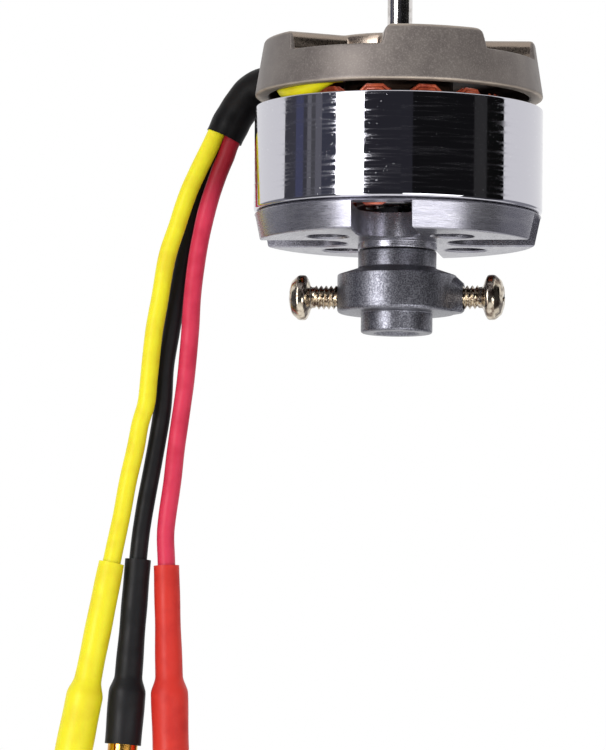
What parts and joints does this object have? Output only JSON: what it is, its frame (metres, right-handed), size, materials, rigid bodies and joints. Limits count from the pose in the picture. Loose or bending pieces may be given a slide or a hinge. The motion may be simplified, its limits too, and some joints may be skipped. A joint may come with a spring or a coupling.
{
  "type": "brushless outrunner motor",
  "caption": "Small brushless outrunner motor with a rotating can, lugged rear mount, two-screw prop saver collar, and phase leads with bullet connectors.",
  "frame": {"origin": "on the shaft's axis in the plane of the mount's lug tops, the face that goes against the frame or firewall", "axes": "+Z along the shaft, out of the mounting face; the propeller end points to -Z; -Y is the front, +X the right"},
  "size_m": [0.0387, 0.023, 0.0699],
  "materials": {
    "copper_wire": "enamelled copper wire, glossy, copper-red",
    "magnet_plating": "nickel-plated magnet blocks, satin",
    "yellow_insulation": "yellow insulation tube, semi-gloss",
    "black_insulation": "black insulation tube, semi-gloss",
    "red_insulation": "pink-red insulation tube, semi-gloss",
    "red_heat_shrink": "red heat-shrink tube, satin",
    "black_heat_shrink": "black heat-shrink tube, satin",
    "gold_plating": "gold-plated brass, bright",
    "bearing_steel": "ground bearing steel",
    "mount_casting": "bead-blasted taupe-grey anodised aluminium, satin",
    "tube_steel": "turned steel",
    "lamination_enamel": "dark green enamel over laminated steel",
    "chrome_plating": "mirror-polished chrome-plated steel with fine turning lines",
    "gunmetal_anodising": "gunmetal-grey anodised turned aluminium, fine machining lines",
    "nickel_plating": "yellowish bright nickel plating",
    "ground_steel": "ground and polished steel",
    "spring_steel": "oiled spring steel"
  },
  "bodies": {
    "stator": {"bearing_tube": "tube_steel", "bullet_connector_black": "gold_plating", "bullet_connector_red": "gold_plating", "bullet_connector_yellow": "gold_plating", "coil_01": "copper_wire", "coil_02": "copper_wire", "coil_03": "copper_wire", "coil_04": "copper_wire", "coil_05": "copper_wire", "coil_06": "copper_wire", "coil_07": "copper_wire", "coil_08": "copper_wire", "coil_09": "copper_wire", "coil_10": "copper_wire", "coil_11": "copper_wire", "coil_12": "copper_wire", "connector_sleeve_black": "black_insulation", "connector_sleeve_red": "red_heat_shrink", "connector_sleeve_yellow": "yellow_insulation", "lead_black": "black_insulation", "lead_bundle_sleeve": "black_heat_shrink", "lead_red": "red_insulation", "lead_yellow": "yellow_insulation", "lower_bearing_outer_ring": "bearing_steel", "motor_mount": "mount_casting", "stator_core": "lamination_enamel", "upper_bearing_outer_ring": "bearing_steel", "winding_tail_black": "black_insulation", "winding_tail_red": "red_insulation", "winding_tail_yellow": "yellow_insulation"},
    "rotor": {"collar_screw_left": "nickel_plating", "collar_screw_right": "nickel_plating", "end_bell": "gunmetal_anodising", "flux_ring": "chrome_plating", "lower_bearing_inner_ring": "bearing_steel", "magnet_01": "magnet_plating", "magnet_02": "magnet_plating", "magnet_03": "magnet_plating", "magnet_04": "magnet_plating", "magnet_05": "magnet_plating", "magnet_06": "magnet_plating", "magnet_07": "magnet_plating", "magnet_08": "magnet_plating", "magnet_09": "magnet_plating", "magnet_10": "magnet_plating", "magnet_11": "magnet_plating", "magnet_12": "magnet_plating", "magnet_13": "magnet_plating", "magnet_14": "magnet_plating", "prop_saver": "gunmetal_anodising", "shaft": "ground_steel", "shaft_clip": "spring_steel", "shaft_washer": "spring_steel", "upper_bearing_inner_ring": "bearing_steel"},
    "upper_ball_set": {"upper_bearing_balls": "bearing_steel"},
    "lower_ball_set": {"lower_bearing_balls": "bearing_steel"}
  },
  "joints": [
    {"name": "rotor_spin", "type": "hinge", "parent": "stator", "child": "rotor", "pos_m": [0, 0, -0.0094], "axis": [0, 0, 1], "continuous": true},
    {"name": "upper_balls_roll", "type": "hinge", "parent": "stator", "child": "upper_ball_set", "pos_m": [0, 0, -0.00295], "axis": [0, 0, 1], "continuous": true},
    {"name": "lower_balls_roll", "type": "hinge", "parent": "stator", "child": "lower_ball_set", "pos_m": [0, 0, -0.01195], "axis": [0, 0, 1], "continuous": true}
  ],
  "couplings": [
    {"joint": "upper_balls_roll", "follows": "rotor_spin", "ratio": 0.432},
    {"joint": "lower_balls_roll", "follows": "rotor_spin", "ratio": 0.432}
  ]
}
